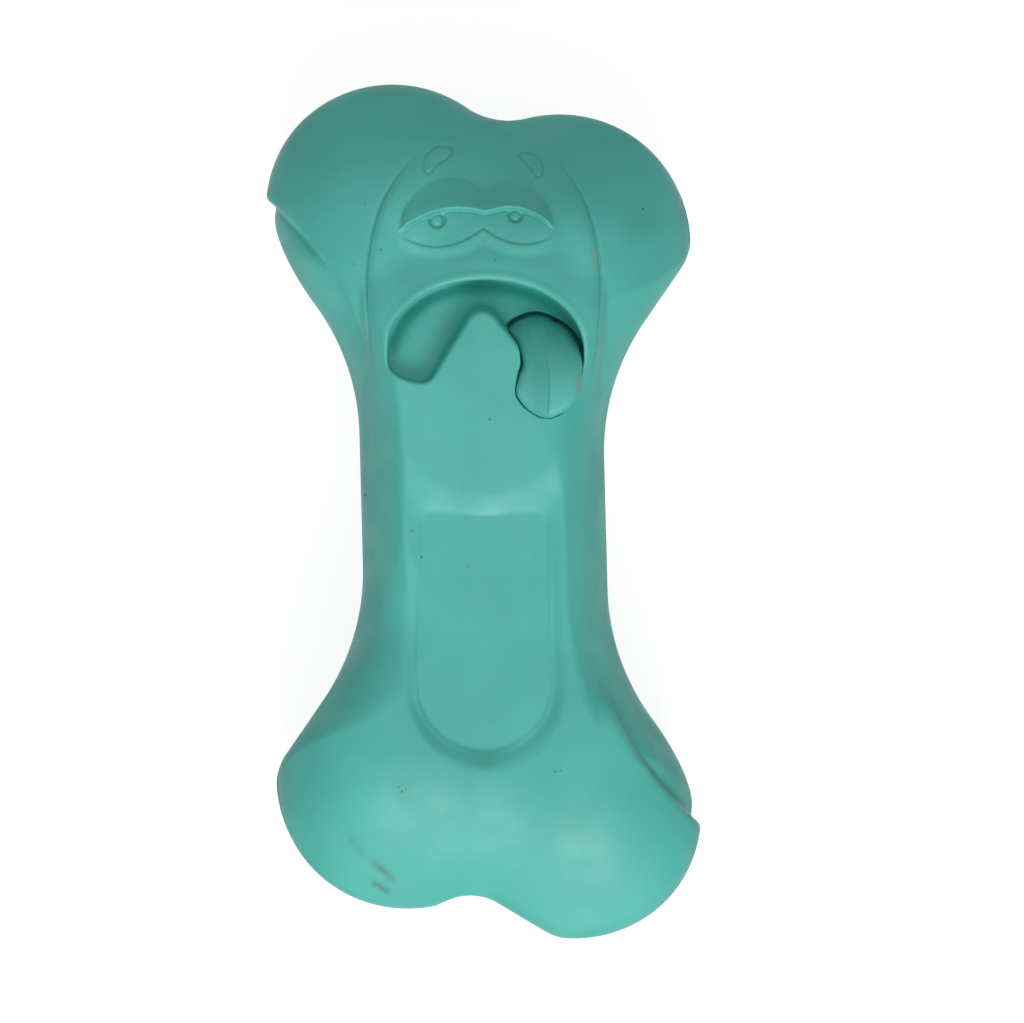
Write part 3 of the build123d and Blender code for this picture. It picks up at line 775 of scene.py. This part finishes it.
def rubber(name, marked_and_shaded):
    """Soft matt rubber: cloudy colour and fine grain, and if marked, painted shade, dirt and small marks of
    use.
    """
    m = bpy.data.materials.new(name)
    m.use_nodes = True
    nodes, links = m.node_tree.nodes, m.node_tree.links
    shader = nodes["Principled BSDF"]
    shader.inputs["Specular IOR Level"].default_value = RUBBER_GLOSS
    place = nodes.new("ShaderNodeTexCoord")

    def noise(scale, detail):
        n = nodes.new("ShaderNodeTexNoise")
        n.inputs["Scale"].default_value = scale
        n.inputs["Detail"].default_value = detail
        links.new(place.outputs["Object"], n.inputs["Vector"])
        return n.outputs["Fac"]

    def spread(value, low, high, to_low, to_high):
        n = nodes.new("ShaderNodeMapRange")
        n.interpolation_type = "SMOOTHSTEP"
        n.inputs["From Min"].default_value = low
        n.inputs["From Max"].default_value = high
        n.inputs["To Min"].default_value = to_low
        n.inputs["To Max"].default_value = to_high
        links.new(value, n.inputs["Value"])
        return n.outputs["Result"]

    def combined(operation, a, b):
        n = nodes.new("ShaderNodeMath")
        n.operation = operation
        links.new(a, n.inputs[0])
        links.new(b, n.inputs[1])
        return n.outputs["Value"]

    def tinted(colour, tint, share):
        n = nodes.new("ShaderNodeMix")
        n.data_type = "RGBA"
        links.new(share, n.inputs["Factor"])
        links.new(colour, n.inputs["A"])
        n.inputs["B"].default_value = tint
        return n.outputs["Result"]

    cloud = nodes.new("ShaderNodeMix")
    cloud.data_type = "RGBA"
    cloud.inputs["A"].default_value = TEAL_SHADES[0]
    cloud.inputs["B"].default_value = TEAL_SHADES[1]
    links.new(spread(noise(CLOUD_SCALE, 5), 0.3, 0.7, 0, 1), cloud.inputs["Factor"])
    colour = cloud.outputs["Result"]
    colour = tinted(colour, SPECKLE, spread(noise(SPECKLE_SCALE, 2), 0.66, 0.8, 0, 0.1))

    flat = nodes.new("ShaderNodeVectorMath")
    flat.operation = "MULTIPLY"
    flat.inputs[1].default_value = (1, 1, 0)
    links.new(place.outputs["Object"], flat.inputs[0])

    def spots(places, soft, strength):
        """How much of a mark there is: the strength in the middle of each spot, and 0 outside."""
        share = None
        for x, y, radius in places:
            away = nodes.new("ShaderNodeVectorMath")
            away.operation = "DISTANCE"
            away.inputs[1].default_value = (x / MM_PER_M, y / MM_PER_M, 0)
            links.new(flat.outputs["Vector"], away.inputs[0])
            near, far = radius * (1 - soft) / MM_PER_M, radius * (1 + soft) / MM_PER_M
            spot = spread(away.outputs["Value"], near, far, strength, 0)
            share = combined("MAXIMUM", share, spot) if share else spot
        return share

    if marked_and_shaded:
        ragged = spread(noise(RAGGED_SCALE, 3), 0.35, 0.65, 0.6, 1)
        colour = tinted(colour, SMUDGE, spots(SMUDGES, 0.9, 0.3))
        colour = tinted(colour, STAIN, combined("MULTIPLY", spots(STAINS, 0.9, 0.5), ragged))
        colour = tinted(colour, RUBBED, spots(RUBBED_PLACES, 0.9, 0.15))
        colour = tinted(colour, PINHOLE, spots(PINHOLES, 0.5, 0.75))
        # Painted shade in the face's fine lines and on the tongue, and dirt on the front's smears, darken
        # the colour here.
        shade_and_smear = nodes.new("ShaderNodeAttribute")
        shade_and_smear.attribute_name = "painted_shade_and_smears"
        colour = tinted(colour, SHADE_AND_SMEAR_TINT, combined("MULTIPLY", shade_and_smear.outputs["Fac"], ragged))
    links.new(colour, shader.inputs["Base Color"])
    links.new(spread(noise(SHINE_SCALE, 4), 0.3, 0.7, *RUBBER_ROUGHNESS), shader.inputs["Roughness"])

    grain = nodes.new("ShaderNodeBump")
    grain.inputs["Strength"].default_value = 0.12
    grain.inputs["Distance"].default_value = 0.0002
    links.new(noise(GRAIN_SCALE, 3), grain.inputs["Height"])
    links.new(grain.outputs["Normal"], shader.inputs["Normal"])
    return m


def hard(name, dark, light, scale, roughness, metal=0.0):
    """Moulded plastic or sheet metal: two close shades clouded together, and a little grain."""
    vary = 0.07
    m = bpy.data.materials.new(name)
    m.use_nodes = True
    nodes, links = m.node_tree.nodes, m.node_tree.links
    shader = nodes["Principled BSDF"]
    shader.inputs["Metallic"].default_value = metal
    place = nodes.new("ShaderNodeTexCoord")
    cloud = nodes.new("ShaderNodeTexNoise")
    cloud.inputs["Scale"].default_value = scale
    cloud.inputs["Detail"].default_value = 4
    links.new(place.outputs["Object"], cloud.inputs["Vector"])
    shade = nodes.new("ShaderNodeMix")
    shade.data_type = "RGBA"
    shade.inputs["A"].default_value = dark
    shade.inputs["B"].default_value = light
    links.new(cloud.outputs["Fac"], shade.inputs["Factor"])
    links.new(shade.outputs["Result"], shader.inputs["Base Color"])
    gloss = nodes.new("ShaderNodeMapRange")
    gloss.inputs["To Min"].default_value = roughness - vary
    gloss.inputs["To Max"].default_value = roughness + vary
    links.new(cloud.outputs["Fac"], gloss.inputs["Value"])
    links.new(gloss.outputs["Result"], shader.inputs["Roughness"])
    grain = nodes.new("ShaderNodeBump")
    grain.inputs["Strength"].default_value = 0.1
    grain.inputs["Distance"].default_value = 0.0001
    links.new(cloud.outputs["Fac"], grain.inputs["Height"])
    links.new(grain.outputs["Normal"], shader.inputs["Normal"])
    return m


shells["rear_rubber"].data.materials.append(rubber("teal_rubber", False))
shells["front_rubber"].data.materials.append(rubber("teal_rubber_front", True))
shells["tongue_rubber"].data.materials.append(rubber("teal_rubber_tongue", True))
inside = {
    "squeaker_housing": hard("white_plastic", srgb(214, 212, 204), srgb(228, 226, 219), 300, 0.42),
    "squeaker_reed_holder": hard("grey_plastic", srgb(176, 178, 176), srgb(192, 193, 190), 300, 0.45),
    "squeaker_reed": hard("reed_metal", srgb(176, 150, 96), srgb(198, 172, 116), 900, 0.32, 1.0),
}
for node, finish in inside.items():
    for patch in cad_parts[node].material_slots:
        patch.material = finish

# Floor, light and camera, in metres
FLOOR_SIZE, FLOOR_GREY, FLOOR_GLOW = 6, 0.25, 0.86
SKY = (0.22, 0.79)              # strength of the light from the horizon and from above
KEY_PLACE, KEY_SIZE, KEY_WATTS = (0.11, -0.92, 0.76), 0.7, 9.2
CAMERA_PLACE = (0.00501, 0.0, 4.02)
CAMERA_SENSOR = 36
FRAMED_WIDTH, FRAMED_FROM = 0.18007, 4.0    # the picture's width at this distance from the camera

bpy.ops.mesh.primitive_plane_add(size=FLOOR_SIZE)
floor = bpy.context.object
floor.name = "floor"
paper = bpy.data.materials.new("paper")
paper.use_nodes = True
nodes, links = paper.node_tree.nodes, paper.node_tree.links
nodes["Principled BSDF"].inputs["Base Color"].default_value = (FLOOR_GREY,) * 3 + (1,)
nodes["Principled BSDF"].inputs["Roughness"].default_value = 0.9
# The floor shows white to the camera and in reflections, without lighting the toy
glow = nodes.new("ShaderNodeEmission")
glow.inputs["Color"].default_value = (FLOOR_GLOW,) * 3 + (1,)
ray = nodes.new("ShaderNodeLightPath")
seen = nodes.new("ShaderNodeMath")
seen.operation = "ADD"
links.new(ray.outputs["Is Camera Ray"], seen.inputs[0])
links.new(ray.outputs["Is Glossy Ray"], seen.inputs[1])
through = nodes.new("ShaderNodeMath")
through.operation = "ADD"
through.use_clamp = True
links.new(seen.outputs["Value"], through.inputs[0])
links.new(ray.outputs["Is Transmission Ray"], through.inputs[1])
links.new(through.outputs["Value"], glow.inputs["Strength"])
add = nodes.new("ShaderNodeAddShader")
links.new(nodes["Principled BSDF"].outputs["BSDF"], add.inputs[0])
links.new(glow.outputs["Emission"], add.inputs[1])
links.new(add.outputs["Shader"], nodes["Material Output"].inputs["Surface"])
floor.data.materials.append(paper)

world = bpy.data.worlds.new("studio")
bpy.context.scene.world = world
world.use_nodes = True
nodes, links = world.node_tree.nodes, world.node_tree.links
nodes["Background"].inputs["Color"].default_value = (1, 1, 1, 1)
sky = nodes.new("ShaderNodeTexCoord")
height = nodes.new("ShaderNodeSeparateXYZ")
links.new(sky.outputs["Generated"], height.inputs["Vector"])
bright = nodes.new("ShaderNodeMapRange")
bright.inputs["To Min"].default_value = SKY[0]
bright.inputs["To Max"].default_value = SKY[1]
links.new(height.outputs["Z"], bright.inputs["Value"])
links.new(bright.outputs["Result"], nodes["Background"].inputs["Strength"])

lamp = bpy.data.lights.new("key", "AREA")
lamp.shape = "DISK"
lamp.size = KEY_SIZE
lamp.energy = KEY_WATTS
softbox = bpy.data.objects.new("key", lamp)
bpy.context.scene.collection.objects.link(softbox)
softbox.location = KEY_PLACE
softbox.rotation_euler = (-softbox.location).to_track_quat("-Z", "Y").to_euler()
softbox.visible_camera = False

camera = bpy.data.objects.new("camera", bpy.data.cameras.new("camera"))
bpy.context.scene.collection.objects.link(camera)
camera.location = CAMERA_PLACE
camera.data.sensor_width = CAMERA_SENSOR
camera.data.lens = CAMERA_SENSOR * FRAMED_FROM / FRAMED_WIDTH
camera.data.clip_end = 20
bpy.context.scene.camera = camera
bpy.context.scene.view_settings.view_transform = "Standard"
